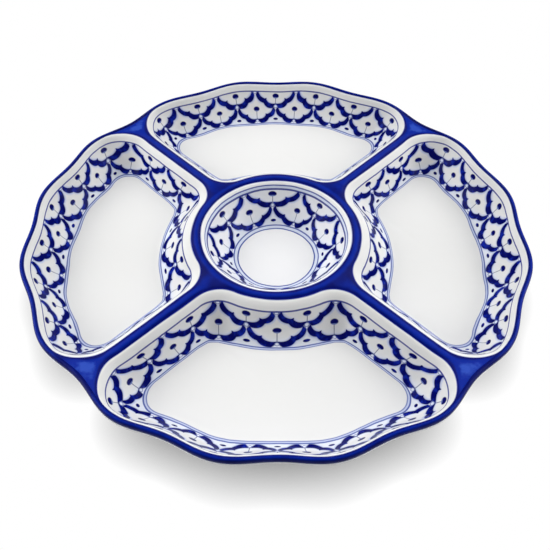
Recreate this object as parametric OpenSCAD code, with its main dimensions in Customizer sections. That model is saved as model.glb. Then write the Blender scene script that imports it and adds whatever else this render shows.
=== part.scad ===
// Divided serving bowl: four lobed wells round a centre cup, parted by raised dividers.
// Millimetres, Z up. Zero is the foot's underside, on the axis of the cup.
// The glazed ware is one shell of even thickness. It is drawn here as the forms that are
// moulded and luted together, each ending face to face with the next.

/* [Rim] */
// Mean radius of the lobed rim
rim_r = 157; // [150:1:165]
// Width of the blue band that crowns the rim
band_w = 2.7; // [2:0.1:4]
// Height of the rim above the dividers
rim_rise = 4.6; // [3:0.1:6]
// How far the rim drops again where a divider meets it
rim_dip = 2.2; // [0:0.1:2.5]
// Crown of the rim band above its own edges
bead_h = 0.8; // [0.4:0.1:1.2]
// Swell of the rim at the middle of each well
swell_h = 1.3; // [0:0.1:2.5]
// How much of that swell the very middle and the dividers give back
dent_h = 0.4; // [0:0.1:1]
// Depth of the small lobes round the rim
lobe_h = 1.9; // [0:0.1:2.5]
// Extra nip of the rim at each divider
nip_h = 0.4; // [0:0.1:1]

/* [Wells] */
// Depth of a well's floor below the dividers
well_depth = 20; // [16:0.5:24]
// Level distance from the rim band to a well's floor
rim_run = 23.5; // [20:0.5:27]
// Level distance from the cup's collar to a well's floor
ring_run = 26; // [22:0.5:28]
// Level distance from a divider's top to a well's floor
side_run = 20; // [16:0.5:23]
// Corner radius of a well's top edge beside the rim
well_corner_r = 18; // [14:0.5:20]
// Corner radius of a well's top edge beside the cup
well_heel_r = 19.5; // [15:0.5:22]
// Corner radius of a well's floor beside the rim
floor_corner_r = 12; // [8:0.5:15]
// Corner radius of a well's floor beside the cup
floor_heel_r = 5; // [3:0.5:8]
// How much lower the middle of each floor lies than its edge
floor_dip = 0.8; // [0:0.1:1.5]

/* [Dividers] */
// Width of a divider's blue top
web_w = 5.8; // [4.5:0.1:7.5]
// Crown of a divider and of the collar above their edges
web_crown = 0.8; // [0.3:0.1:1.2]

/* [Centre cup] */
// Outer radius of the blue collar round the cup
collar_r = 54.2; // [50:0.2:58]
// Width of the collar
collar_w = 5.2; // [4:0.1:7]
// Level distance from the collar to the cup's floor
cup_run = 24; // [20:0.5:28]
// How much deeper the cup's floor lies than the wells' floors
cup_drop = 4; // [0:0.5:4.5]

/* [Shell] */
// Thickness of the walls and floors
shell_t = 4.5; // [3.5:0.1:5.5]
// Upright thickness at the edges where the forms meet
edge_t = 4.8; // [4:0.1:5.5]

/* [Foot] */
// Radius of the middle of the foot ring
foot_r = 99; // [96:0.5:102]
// Width of the foot ring where it leaves the wells
foot_w = 7; // [5.5:0.5:8]
// Width of the foot ring where it stands
foot_tip_w = 5; // [4:0.5:5.5]
// Height of the foot ring below the wells
foot_h = 6.5; // [5.5:0.5:9]

/* [Hidden] */

// Wells round the dish, and small lobes round the rim
quarters = 4;
lobes = 16;
// Angle from a well's middle to the divider beside it
half_turn = 360 / quarters / 2;

// Pieces along each stretch of a well's outline, across a divider and round a revolved form
arc_steps = 14;
corner_steps = 6;
side_steps = 4;
heel_steps = 5;
ring_steps = 5;
across_steps = 6;
fine = 128;

// Heights of the dividers' tops, the wells' floors and the cup's floor
web_z = foot_h + shell_t + well_depth;
floor_z = web_z - well_depth;
cup_z = floor_z - cup_drop;
// Inner radius of the rim band, and the collar's inner radius, where the cup begins
rim_in_r = rim_r - band_w;
cup_r = collar_r - collar_w;

// Wall profiles from edge to floor, as shares of the run and of the depth. The fourth place is
// the fine line below the shoulder, the fifth the middle of the wall and the seventh its foot.
web_wall_shares = [[0, 0], [0.06, 0.005], [0.13, 0.04], [0.25, 0.19],
                   [0.485, 0.555], [0.68, 0.8], [0.842, 0.957], [1, 1]];
rim_wall_shares = [[0, 0], [0.05, 0.005], [0.11, 0.03], [0.19, 0.135],
                   [0.44, 0.54], [0.64, 0.8], [0.814, 0.958], [1, 1]];
cup_wall_shares = [[0, 0], [0.05, 0.01], [0.1, 0.05], [0.18, 0.18],
                   [0.5, 0.6], [0.7, 0.82], [0.867, 0.957], [1, 1]];
// How much of the rim's lobes each level of a well's wall keeps
lobe_shares = [1, 1, 1, 1, 0.92, 0.82, 0.74, 0.7];
// Levels of the wall that the underside follows
back_levels = [3, 4, 5, 6, 7];
last_level = len(lobe_shares) - 1;
// Where the lobes fade out and where the wall starts to climb, as shares of the outer radius
fade_share = 0.46;
rise_share = 0.82;
// Section of the rim band: share of its width, share of its crown, share of its upright thickness
band_shares = [[0, 0, 0], [0.22, 0.75, 0], [0.5, 1, 0], [0.8, 0.6, 0],
               [1, 0, 0.25], [0.94, 0, 0.6], [0.6, 0, 0.9], [0, 0, 1]];
// Share of the foot ring's height that tapers to its tip
foot_taper_share = 0.5;

// Numbers and heights
function mix(a, b, t) = a + (b - a) * t;
function ease(t) = let (u = min(max(t, 0), 1)) u * u * (3 - 2 * u);
function hump(t) = 1 - pow(2 * t - 1, 2);
// How far the rim stands out or in at an angle from a well's middle
function rim_wave(a) = swell_h * cos(quarters * a) - dent_h * cos(2 * quarters * a)
                       + nip_h * cos((lobes - quarters) * a) - lobe_h * cos(lobes * a);
// Height of the rim band's inner edge at that angle
function rim_z(a) = web_z + rim_rise - rim_dip * pow((1 - cos(quarters * a)) / 2, 3);

// A wall's section as lengths, and the same wall's back, one shell thickness behind it
function section(shares, run, depth) = [for (s = shares) [s[0] * run, s[1] * depth]];
function slope(sec, k) =
    let (d = sec[min(k + 1, len(sec) - 1)] - sec[max(k - 1, 0)])
    d / norm(d);
function behind(sec, k) =
    k == len(sec) - 1 ? sec[k] + [0, shell_t]
                      : sec[k] + shell_t * [-slope(sec, k)[1], slope(sec, k)[0]];

rim_sec = section(rim_wall_shares, rim_run, rim_rise + well_depth);
ring_sec = section(web_wall_shares, ring_run, well_depth);
side_sec = section(web_wall_shares, side_run, well_depth);
cup_sec = section(cup_wall_shares, cup_run, web_z - cup_z);

// Centre of the round that joins a divider's side to the rim, or to the collar
function corner_centre(side, outer, r) = [sqrt(pow(outer - r, 2) - pow(side + r, 2)), side + r];
function heel_centre(side, ring, r) = [sqrt(pow(ring + r, 2) - pow(side + r, 2)), side + r];
function heading(p) = atan2(p[1], p[0]);
function at(r, a) = r * [cos(a), sin(a)];

// Half of a well's outline, from the rim's middle to the collar's middle, seen from the divider
// beside it: x runs out along the divider and y across it.
function half_outline(side, ring, outer, corner, heel) =
    let (cc = corner_centre(side, outer, corner), hc = heel_centre(side, ring, heel))
    concat(
        [for (k = [0:arc_steps - 1]) at(outer, mix(half_turn, heading(cc), k / arc_steps))],
        [for (k = [0:corner_steps - 1]) cc + at(corner, mix(heading(cc), -90, k / corner_steps))],
        [for (k = [0:side_steps - 1]) [mix(cc[0], hc[0], k / side_steps), side]],
        [for (k = [0:heel_steps - 1]) hc + at(heel, mix(270, 180 + heading(hc), k / heel_steps))],
        [for (k = [0:ring_steps]) at(ring, mix(heading(hc), half_turn, k / ring_steps))]);

// One point of an outline set on the wall: its distance out, its angle from the well's middle
// and its height. The lobes and the climb to the rim grow towards the outside.
function set_point(p, side_p, rim_p, outer, lobe) =
    let (r = norm(p),
         a = half_turn - heading(p),
         full = rim_rise + well_depth,
         rim_side = rim_p[1] > full ? floor_z + full - rim_p[1]
                                    : mix(rim_z(a), floor_z, rim_p[1] / full),
         climb = ease((r / outer - rise_share) / (1 - rise_share)),
         out = r + lobe * ease((r / outer - fade_share) / (1 - fade_share)) * rim_wave(a))
    [out, a, mix(web_z - side_p[1], rim_side, climb)];

// Half of one level of a well, as set points. Grow widens the corners on the underside.
function half_level(side_p, ring_p, rim_p, k, grow) =
    let (outer = rim_in_r - rim_p[0], s = web_wall_shares[k][0])
    [for (p = half_outline(web_w / 2 + side_p[0], collar_r + ring_p[0], outer,
                           mix(well_corner_r, floor_corner_r, s) + grow,
                           mix(well_heel_r, floor_heel_r, s) + grow))
        set_point(p, side_p, rim_p, outer, lobe_shares[k])];

// The whole loop of a level, both halves, for the well in front
function loop(half) =
    let (n = len(half))
    [for (i = [0:2 * n - 3])
        let (q = i < n ? half[i] : half[2 * n - 2 - i], a = i < n ? q[1] : -q[1])
        [q[0] * sin(a), -q[0] * cos(a), q[2]]];
function face_level(k) = half_level(side_sec[k], ring_sec[k], rim_sec[k], k, 0);
function back_level(k) = half_level(behind(side_sec, k), behind(ring_sec, k),
                                    behind(rim_sec, k), k, shell_t);
function lowered(points, h) = [for (p = points) p - [0, 0, h]];

// Triangles between loops of n points stacked in order, and fans that close the two ends
function band_faces(n, loops) =
    [for (j = [0:loops - 2], i = [0:n - 1], half = [0, 1])
        let (i2 = (i + 1) % n)
        half == 0 ? [j * n + i, j * n + i2, (j + 1) * n + i2]
                  : [j * n + i, (j + 1) * n + i2, (j + 1) * n + i]];
function fan_faces(n, loops) =
    [for (i = [0:n - 1], end = [0, 1])
        end == 0 ? [loops * n, (i + 1) % n, i]
                 : [loops * n + 1, (loops - 1) * n + i, (loops - 1) * n + (i + 1) % n]];

// One well: a dished shell with a lobed wall outside and a bowed wall round the cup
module well(turn) {
    loops = concat(
        [for (k = [last_level:-1:0]) loop(face_level(k))],
        [lowered(loop(face_level(0)), edge_t)],
        [for (k = back_levels) loop(back_level(k))]);
    n = len(loops[0]);
    middle = (collar_r + ring_run + rim_in_r - rim_run) / 2;
    rotate([0, 0, turn])
        polyhedron(
            points = concat([for (l = loops, p = l) p],
                            [[0, -middle, floor_z - floor_dip],
                             [0, -middle, floor_z - shell_t]]),
            faces = concat(band_faces(n, len(loops)), fan_faces(n, len(loops))));
}

// Edge of a divider from the rim to the collar, as [along, across, height], shared with the wells
web_edge = [for (i = [arc_steps:arc_steps + corner_steps + side_steps + heel_steps])
    let (q = face_level(0)[i]) [q[0] * cos(half_turn - q[1]), q[0] * sin(half_turn - q[1]), q[2]]];
web_last = len(web_edge) - 1;
heel_start = corner_steps + side_steps;
web_corner = corner_centre(web_w / 2, rim_in_r, well_corner_r);
web_heel = heel_centre(web_w / 2, collar_r, well_heel_r);
rim_end = rim_in_r + rim_wave(half_turn);

// Middle of each rung across a divider, as [along, height]
function web_middle(i) =
    i < corner_steps
        ? [mix(rim_end, web_corner[0], i / corner_steps),
           mix(rim_z(half_turn), web_edge[corner_steps][2] + web_crown, ease(i / corner_steps))]
    : i <= heel_start
        ? [web_edge[i][0], web_edge[i][2] + web_crown]
        : [mix(web_heel[0], collar_r, (i - heel_start) / heel_steps),
           web_z + web_crown * (web_last - i) / heel_steps];

// One rung: the two ends follow the rim band and the collar, and the rest bow towards them
function rung(i) =
    [for (k = [0:across_steps])
        let (t = k / across_steps, e = web_edge[i], m = web_middle(i))
        i == 0 ?
            let (b = mix(heading(web_corner), -heading(web_corner), t), a = half_turn - b,
                 r = rim_in_r + rim_wave(a)) [r * cos(b), r * sin(b), rim_z(a)]
        : i == web_last ?
            let (b = mix(heading(web_heel), -heading(web_heel), t))
            [collar_r * cos(b), collar_r * sin(b), web_z]
        : [mix(e[0], m[0], hump(t)), mix(e[1], -e[1], t), mix(e[2], m[1], hump(t))]];

// One divider: a crowned bridge between two wells, flared at both ends
module divider(turn) {
    side = across_steps + 1;
    loops = [for (i = [0:web_last])
        let (top = rung(i), under = lowered(top, edge_t))
        concat(top, [for (k = [across_steps:-1:0]) under[k]])];
    n = 2 * side;
    caps = [for (k = [0:across_steps - 1], half = [0, 1], end = [0, web_last])
        let (a = end * n + k, b = a + 1, c = end * n + n - 2 - k, d = c + 1,
             tri = half == 0 ? [a, b, c] : [a, c, d])
        end == 0 ? [tri[2], tri[1], tri[0]] : tri];
    rotate([0, 0, turn])
        polyhedron(points = [for (l = loops, p = l) p],
                   faces = concat(band_faces(n, len(loops)), caps));
}

// Angles of the rim band's sections: along each well's arc, then across each divider's end
arc_end = half_turn - heading(web_corner);
rim_angles = concat(
    [for (k = [-arc_steps:arc_steps - 1]) arc_end * k / arc_steps],
    [for (k = [0:across_steps - 1])
        mix(arc_end, 2 * half_turn - arc_end, k / across_steps)]);

// The crowned band round the rim, with its rounded outer lip
module band() {
    n = len(band_shares);
    stations = [for (q = [0:quarters - 1], a = rim_angles) [q * 2 * half_turn, a]];
    count = len(stations);
    points = [for (s = stations, b = band_shares)
        let (r = rim_in_r + band_w * b[0] + rim_wave(s[1]),
             z = rim_z(s[1]) + bead_h * b[1] - edge_t * b[2])
        [r * sin(s[0] + s[1]), -r * cos(s[0] + s[1]), z]];
    faces = [for (j = [0:count - 1], i = [0:n - 1], half = [0, 1])
        let (j2 = (j + 1) % count, i2 = (i + 1) % n)
        half == 0 ? [j * n + i, j2 * n + i2, j * n + i2]
                  : [j * n + i, j2 * n + i, j2 * n + i2]];
    polyhedron(points = points, faces = faces);
}

// The round cup: wall and floor turned about the dish's axis
module cup() {
    face = [for (p = cup_sec) [cup_r - p[0], web_z - p[1]]];
    back = [for (k = [last_level:-1:back_levels[0]])
        let (p = behind(cup_sec, k)) [cup_r - p[0], web_z - p[1]]];
    rotate_extrude($fn = fine)
        polygon(concat(face, [[0, cup_z - floor_dip], [0, cup_z - shell_t]], back,
                       [[cup_r, web_z - edge_t]]));
}

// The crowned collar that joins the cup to the wells and dividers
module collar() {
    top = [for (k = [0:across_steps])
        let (t = k / across_steps) [mix(cup_r, collar_r, t), web_z + web_crown * hump(t)]];
    rotate_extrude($fn = fine)
        polygon(concat(top, [[collar_r, web_z - edge_t], [cup_r, web_z - edge_t]]));
}

// Cross-section of the hollow below a divider, from the top of the foot ring to the divider
groove = let (
    right = [for (i = [len(back_levels) - 1:-1:0])
        let (p = behind(side_sec, back_levels[i])) [web_w / 2 + p[0], web_z - p[1]]],
    roof = [for (k = [0:across_steps])
        let (t = k / across_steps)
        [mix(web_w / 2, -web_w / 2, t), web_z - edge_t + web_crown * hump(t)]])
    concat(right, roof, [for (k = [len(right) - 1:-1:0]) [-right[k][0], right[k][1]]]);

// The foot ring that the dish stands on, tapered to its tip
module foot() {
    shoulder = foot_h * foot_taper_share;
    rotate_extrude($fn = fine)
        polygon([[foot_r - foot_w / 2, foot_h], [foot_r - foot_w / 2, shoulder],
                 [foot_r - foot_tip_w / 2, 0], [foot_r + foot_tip_w / 2, 0],
                 [foot_r + foot_w / 2, shoulder], [foot_r + foot_w / 2, foot_h]]);
}

// The short walls that carry the foot ring up into the hollow below each divider
module webs() {
    for (q = [0:quarters - 1])
        intersection() {
            rotate([90, 0, 90 + half_turn + q * 2 * half_turn])
                linear_extrude(rim_r)
                    polygon(groove);
            rotate_extrude($fn = fine)
                translate([foot_r - shell_t / 2, 0])
                    square([shell_t, web_z]);
        }
}

module well_front() { color("ghostwhite") well(0); }
module well_right() { color("ghostwhite") well(2 * half_turn); }
module well_back() { color("ghostwhite") well(4 * half_turn); }
module well_left() { color("ghostwhite") well(6 * half_turn); }
module divider_front_left() { color("mediumblue") divider(-3 * half_turn); }
module divider_front_right() { color("mediumblue") divider(-half_turn); }
module divider_back_left() { color("mediumblue") divider(3 * half_turn); }
module divider_back_right() { color("mediumblue") divider(half_turn); }
module centre_cup() { color("ghostwhite") cup(); }
module cup_collar() { color("mediumblue") collar(); }
module rim_band() { color("navy") band(); }
module foot_ring() { color("antiquewhite") foot(); }
module foot_webs() { color("ghostwhite") webs(); }

well_front();
well_right();
well_back();
well_left();
divider_front_left();
divider_front_right();
divider_back_left();
divider_back_right();
centre_cup();
cup_collar();
rim_band();
foot_ring();
foot_webs();
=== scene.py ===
"""Divided serving bowl: glazed ware with a painted lattice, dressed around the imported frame.

Every length is in metres, Z up, with zero at the foot's underside on the axis of the cup. The
shared form repeats the named sizes of the part's source, so each fine piece stands where the
frame's solid stands. Only the shoulders of the walls are tighter than the solids'.
"""

from __future__ import annotations

import logging
import math
from dataclasses import dataclass, field
from enum import Enum
from typing import ClassVar, Mapping, Sequence, Union

import bpy
import numpy as np
from mathutils import Matrix, Vector

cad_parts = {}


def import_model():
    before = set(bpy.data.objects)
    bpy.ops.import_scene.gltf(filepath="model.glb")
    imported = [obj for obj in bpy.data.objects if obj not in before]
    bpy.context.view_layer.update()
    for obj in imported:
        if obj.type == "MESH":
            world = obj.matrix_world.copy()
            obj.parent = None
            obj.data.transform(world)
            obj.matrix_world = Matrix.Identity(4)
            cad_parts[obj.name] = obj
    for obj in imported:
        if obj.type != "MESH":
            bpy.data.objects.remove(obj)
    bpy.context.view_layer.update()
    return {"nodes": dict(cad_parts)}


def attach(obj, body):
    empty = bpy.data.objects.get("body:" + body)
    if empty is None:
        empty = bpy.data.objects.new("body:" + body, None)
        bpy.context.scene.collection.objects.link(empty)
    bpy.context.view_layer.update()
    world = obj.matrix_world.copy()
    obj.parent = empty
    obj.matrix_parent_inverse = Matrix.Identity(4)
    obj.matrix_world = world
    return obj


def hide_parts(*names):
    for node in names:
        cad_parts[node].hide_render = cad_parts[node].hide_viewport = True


LOG = logging.getLogger("serving_bowl")
MM = 0.001
ROOT = "root"
MOTIF = "motif"
# Per face corner: the glaze's depth, which along crowns also carries a painted highlight.
POOL_AND_SHEEN = "pool"
BARE_POOL = -1.0
HIDDEN_HEIGHT = -1.0
HALF_QUARTER = math.pi / 4
LATTICE_TOP = 3.0
LATTICE_MIDDLE = 4.0
LATTICE_FOOT = 6.0
FLOOR_LEVEL = 7.0
WELL_CREASE = math.radians(50)
ROUND_CREASE = math.radians(60)
Colour = tuple[float, float, float, float]
Span = tuple[float, float]
Values = Union[np.ndarray, float]
Feed = Union["Wire", float, int, bool, str, Sequence[float]]
Coat = tuple["Wire", Feed]


def linear(red: int, green: int, blue: int) -> Colour:
    """Turns a screen colour into the linear colour that a shader takes.

    Args:
        red: Red of 0 to 255.
        green: Green of 0 to 255.
        blue: Blue of 0 to 255.

    Returns:
        The linear colour, fully opaque.
    """
    shares = [part / 255 for part in (red, green, blue)]
    parts = [s / 12.92 if s <= 0.04045 else ((s + 0.055) / 1.055) ** 2.4 for s in shares]
    return (parts[0], parts[1], parts[2], 1.0)


def mix(first: Values, second: Values, share: Values) -> Values:
    """Goes from the first value to the second by a share of 0 to 1."""
    return first + (second - first) * share


def ease(share: Values) -> Values:
    """Runs from 0 to 1 with level ends, and stays level outside them."""
    held = np.clip(share, 0.0, 1.0)
    return held * held * (3.0 - 2.0 * held)


def hump(share: Values) -> Values:
    """Rises from 0 to 1 and falls back to 0 as the share goes from 0 to 1."""
    return 1.0 - (2.0 * share - 1.0) ** 2


def crown(share: Values) -> Values:
    """Rises and falls as hump does, but leaves both edges level."""
    return np.clip(hump(share), 0.0, 1.0) ** 1.5


def bearing(point: np.ndarray) -> float:
    """Gives the angle at which a point lies from a divider's middle line."""
    return math.atan2(point[1], point[0])


def mirrored(half: np.ndarray, sign: Values = 1.0) -> np.ndarray:
    """Carries half an outline's values over to its other side, times a sign there."""
    return np.concatenate([half[::-1] * sign, half[1:]])


def smooth_through(knots: Sequence[float], place: Values, level_end: bool = False) -> np.ndarray:
    """Runs a curve through equally spaced knots without overshooting any of them.

    Args:
        knots: Values at places 0, 1, 2 and so on.
        place: Places to read the curve at.
        level_end: Whether the curve is level at its last knot.

    Returns:
        The curve's values at the places.
    """
    held = np.asarray(knots, float)
    step = np.diff(held)
    inner = np.zeros(len(held) - 2)
    rising = step[:-1] * step[1:] > 0
    inner[rising] = 2 * step[:-1][rising] * step[1:][rising] / (step[:-1] + step[1:])[rising]
    slope = np.concatenate([[step[0]], inner, [0.0 if level_end else step[-1]]])
    where = np.clip(np.asarray(place, float), 0, len(held) - 1)
    knot = np.clip(np.floor(where).astype(int), 0, len(held) - 2)
    part = where - knot
    rest = 1 - part
    return ((1 + 2 * part) * rest**2 * held[knot] + part * rest**2 * slope[knot]
            + part**2 * (3 - 2 * part) * held[knot + 1] - part**2 * rest * slope[knot + 1])


class Side(Enum):
    """A place round the dish."""

    @property
    def label(self) -> str:
        """Name of this place in the frame's node names."""
        return self.name.lower()


class Quarter(Side):
    """The wells' places, each a quarter turn on from the front."""

    FRONT = 0
    RIGHT = 1
    BACK = 2
    LEFT = 3

    @property
    def turn(self) -> float:
        """Angle that carries the front well here."""
        return self.value * math.pi / 2


class Corner(Side):
    """The dividers' places, by the angle each runs out at."""

    FRONT_LEFT = -135
    FRONT_RIGHT = -45
    BACK_LEFT = 135
    BACK_RIGHT = 45

    @property
    def turn(self) -> float:
        """Angle that carries the X axis onto this divider."""
        return math.radians(self.value)


@dataclass(frozen=True)
class WallShape:
    """A wall's section from its edge to its floor, as shares of its run and of its depth."""

    runs: tuple[float, ...]
    depths: tuple[float, ...]
    slope_step: float = 0.02
    fine_steps: int = 701

    def section(self, levels: np.ndarray, run: float, depth: float) -> tuple[Values, Values]:
        """Reads how far in from the edge and how far below it the face lies at each level."""
        return (smooth_through(self.runs, levels) * run,
                smooth_through(self.depths, levels, level_end=True) * depth)

    def at(self, level: float, run: float, depth: float, behind: float = 0.0) -> Span:
        """Finds one point of the section, or of the same wall's back.

        Args:
            level: Place on the wall, from 0 at its edge to 7 at its floor.
            run: Level distance from edge to floor.
            depth: Depth of the floor below the edge.
            behind: How far behind the face the point lies.

        Returns:
            Its distance in from the edge and its depth below it.
        """
        near = np.clip(level + self.slope_step * np.array([-1, 0, 1]), 0, FLOOR_LEVEL)
        across, down = self.section(near, run, depth)
        step = np.array([across[2] - across[0], down[2] - down[0]])
        step = step / np.linalg.norm(step)
        return (float(across[1] - behind * step[1]), float(down[1] + behind * step[0]))

    def lattice_heights(self, levels: np.ndarray, run: float, depth: float) -> np.ndarray:
        """Measures down the face, from 0 at the lattice's top line to 1 at its foot line.

        Args:
            levels: Places on the wall.
            run: Level distance from edge to floor.
            depth: Depth of the floor below the edge.

        Returns:
            The height in the lattice at each level, below 0 above its top line.
        """
        fine = np.linspace(0, FLOOR_LEVEL, self.fine_steps)
        across, down = self.section(fine, run, depth)
        along = np.concatenate([[0], np.cumsum(np.hypot(np.diff(across), np.diff(down)))])
        top, foot = np.interp([LATTICE_TOP, LATTICE_FOOT], fine, along)
        return (np.interp(levels, fine, along) - top) / (foot - top)


@dataclass(frozen=True)
class DishForm:
    """The sizes and curves that every piece of the dish shares."""

    rim_r: float = 157 * MM
    band_w: float = 2.7 * MM
    rim_rise: float = 4.6 * MM
    rim_dip: float = 2.2 * MM
    bead_h: float = 0.8 * MM
    swell_h: float = 1.3 * MM
    dent_h: float = 0.4 * MM
    lobe_h: float = 1.9 * MM
    nip_h: float = 0.4 * MM
    well_depth: float = 20 * MM
    rim_run: float = 23.5 * MM
    ring_run: float = 26 * MM
    side_run: float = 20 * MM
    well_corner_r: float = 18 * MM
    well_heel_r: float = 19.5 * MM
    floor_corner_r: float = 12 * MM
    floor_heel_r: float = 5 * MM
    floor_dip: float = 0.8 * MM
    web_w: float = 5.8 * MM
    web_crown: float = 0.8 * MM
    collar_r: float = 54.2 * MM
    collar_w: float = 5.2 * MM
    cup_run: float = 24 * MM
    cup_drop: float = 4 * MM
    shell_t: float = 4.5 * MM
    edge_t: float = 4.8 * MM
    foot_r: float = 99 * MM
    foot_w: float = 7 * MM
    foot_tip_w: float = 5 * MM
    foot_h: float = 6.5 * MM
    foot_taper: float = 0.5
    fade_share: float = 0.46
    rise_share: float = 0.82
    web_wall: WallShape = WallShape((0, 0.06, 0.13, 0.25, 0.485, 0.68, 0.842, 1),
                                    (0, 0.013, 0.06, 0.2, 0.56, 0.8, 0.957, 1))
    rim_wall: WallShape = WallShape((0, 0.034, 0.072, 0.123, 0.366, 0.562, 0.745, 0.96),
                                    (0, 0.012, 0.06, 0.183, 0.58, 0.833, 0.976, 1))
    cup_wall: WallShape = WallShape((0, 0.05, 0.1, 0.18, 0.5, 0.7, 0.867, 1),
                                    (0, 0.01, 0.05, 0.18, 0.6, 0.82, 0.957, 1))
    lobe_keep: tuple[float, ...] = (1, 1, 1, 1, 0.92, 0.82, 0.74, 0.7)
    floor_rings: tuple[float, ...] = (0.12, 0.28, 0.46, 0.64, 0.82)
    arc_steps: int = 60
    corner_steps: int = 22
    side_steps: int = 14
    heel_steps: int = 18
    ring_steps: int = 20
    across_steps: int = 12

    @property
    def web_z(self) -> float:
        """Height of the dividers' edges."""
        return self.foot_h + self.shell_t + self.well_depth

    @property
    def floor_z(self) -> float:
        """Height of the wells' floors."""
        return self.web_z - self.well_depth

    @property
    def cup_z(self) -> float:
        """Height of the cup's floor."""
        return self.floor_z - self.cup_drop

    @property
    def rim_in_r(self) -> float:
        """Mean radius at which the wells meet the rim band."""
        return self.rim_r - self.band_w

    @property
    def cup_r(self) -> float:
        """Radius at which the cup meets its collar."""
        return self.collar_r - self.collar_w

    @property
    def rim_climb(self) -> float:
        """Height of the rim above a well's floor, in the middle of the well."""
        return self.rim_rise + self.well_depth

    @property
    def corner_centre(self) -> np.ndarray:
        """Centre of the round that joins a divider's edge to the rim."""
        return self.round_centre(self.web_w / 2, self.rim_in_r, -self.well_corner_r)

    @property
    def heel_centre(self) -> np.ndarray:
        """Centre of the round that joins a divider's edge to the collar."""
        return self.round_centre(self.web_w / 2, self.collar_r, self.well_heel_r)

    @property
    def heel_first(self) -> int:
        """Number of the point of a divider's edge at which its heel starts."""
        return self.corner_steps + self.side_steps

    @staticmethod
    def round_centre(side: float, circle: float, radius: float) -> np.ndarray:
        """Centres a round that touches a divider's side and a circle about the axis.

        Args:
            side: Distance of the side from the divider's middle line.
            circle: Radius of the circle.
            radius: Radius of the round, negative where it lies inside the circle.

        Returns:
            The centre, along the divider and across it.
        """
        away = side + abs(radius)
        return np.array([math.sqrt((circle + radius) ** 2 - away**2), away])

    def wave(self, angle: Values) -> Values:
        """How far the rim stands out or in at an angle from a well's middle."""
        return (self.swell_h * np.cos(4 * angle) - self.dent_h * np.cos(8 * angle)
                + self.nip_h * np.cos(12 * angle) - self.lobe_h * np.cos(16 * angle))

    def rim_z(self, angle: Values) -> Values:
        """Height of the rim band's inner edge at that angle."""
        return self.web_z + self.rim_rise - self.rim_dip * ((1 - np.cos(4 * angle)) / 2) ** 3

    def half_outline(self, side: float, ring: float, outer: float, corner: float,
                     heel: float) -> np.ndarray:
        """Draws half of a well's outline, from the rim's middle to the collar's middle.

        Args:
            side: Distance of the well's side from the divider's middle line.
            ring: Radius of the outline beside the cup.
            outer: Radius of the outline beside the rim.
            corner: Radius of its corner beside the rim.
            heel: Radius of its corner beside the cup.

        Returns:
            Points along the divider and across it.
        """
        at_corner = self.round_centre(side, outer, -corner)
        at_heel = self.round_centre(side, ring, heel)

        def arc(centre: np.ndarray, radius: float, start: float, stop: float, steps: int,
                last: bool = False) -> np.ndarray:
            """Draws an arc, with its last point only where that is asked for."""
            turn = np.linspace(start, stop, steps + last, endpoint=last)
            return centre + radius * np.stack([np.cos(turn), np.sin(turn)], -1)

        run = np.linspace(at_corner[0], at_heel[0], self.side_steps, endpoint=False)
        axis = np.zeros(2)
        heel_turn = bearing(at_heel)
        return np.concatenate([
            arc(axis, outer, HALF_QUARTER, bearing(at_corner), self.arc_steps),
            arc(at_corner, corner, bearing(at_corner), -math.pi / 2, self.corner_steps),
            np.stack([run, np.full(len(run), side)], -1),
            arc(at_heel, heel, 1.5 * math.pi, math.pi + heel_turn, self.heel_steps),
            arc(axis, ring, heel_turn, HALF_QUARTER, self.ring_steps, last=True),
        ])

    def half_level(self, level: float, behind: float = 0.0) -> np.ndarray:
        """Sets half of a well's outline on its wall.

        Args:
            level: Place on the wall, from 0 at its edge to 7 at its floor.
            behind: How far behind the face the points lie.

        Returns:
            Points in the front well's frame, from the rim's middle to the collar's middle.
        """
        side_in, side_down = self.web_wall.at(level, self.side_run, self.well_depth, behind)
        ring_in, _ = self.web_wall.at(level, self.ring_run, self.well_depth, behind)
        rim_in, rim_down = self.rim_wall.at(level, self.rim_run, self.rim_climb, behind)
        share = float(smooth_through(self.web_wall.runs, level))
        keep = float(smooth_through(self.lobe_keep, level))
        outer = self.rim_in_r - rim_in
        outline = self.half_outline(self.web_w / 2 + side_in, self.collar_r + ring_in, outer,
                                    mix(self.well_corner_r, self.floor_corner_r, share) + behind,
                                    mix(self.well_heel_r, self.floor_heel_r, share) + behind)
        reach = np.hypot(outline[:, 0], outline[:, 1])
        angle = HALF_QUARTER - np.arctan2(outline[:, 1], outline[:, 0])
        if rim_down > self.rim_climb:
            rim_height = np.full(len(reach), self.floor_z + self.rim_climb - rim_down)
        else:
            rim_height = mix(self.rim_z(angle), self.floor_z, rim_down / self.rim_climb)
        climb = ease((reach / outer - self.rise_share) / (1 - self.rise_share))
        lobes = keep * ease((reach / outer - self.fade_share) / (1 - self.fade_share))
        out = reach + lobes * self.wave(angle)
        height = mix(self.web_z - side_down, rim_height, climb)
        return np.stack([out * np.sin(angle), -out * np.cos(angle), height], -1)

    def web_edge(self) -> np.ndarray:
        """Gives a divider's edge from the rim to the collar, along it, across it and in height."""
        first = self.arc_steps
        points = self.half_level(0.0)[first:first + self.heel_first + self.heel_steps + 1]
        tilt = math.sin(HALF_QUARTER)
        along = (points[:, 0] - points[:, 1]) * tilt
        across = -(points[:, 0] + points[:, 1]) * tilt
        return np.stack([along, across, points[:, 2]], -1)

    def station_angles(self, meeting: np.ndarray, steps: int) -> np.ndarray:
        """Spaces sections round the dish so that they meet the wells' and the dividers' points.

        Args:
            meeting: Centre of the round at which a divider's edge leaves the circle.
            steps: Sections between a well's middle and that round.

        Returns:
            Angles from the front, once round.
        """
        stop = HALF_QUARTER - bearing(meeting)
        well = np.linspace(-stop, stop, 2 * steps, endpoint=False)
        end = np.linspace(stop, math.pi / 2 - stop, self.across_steps, endpoint=False)
        quarter = np.concatenate([well, end])
        return np.concatenate([quarter + side.turn for side in Quarter])

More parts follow.
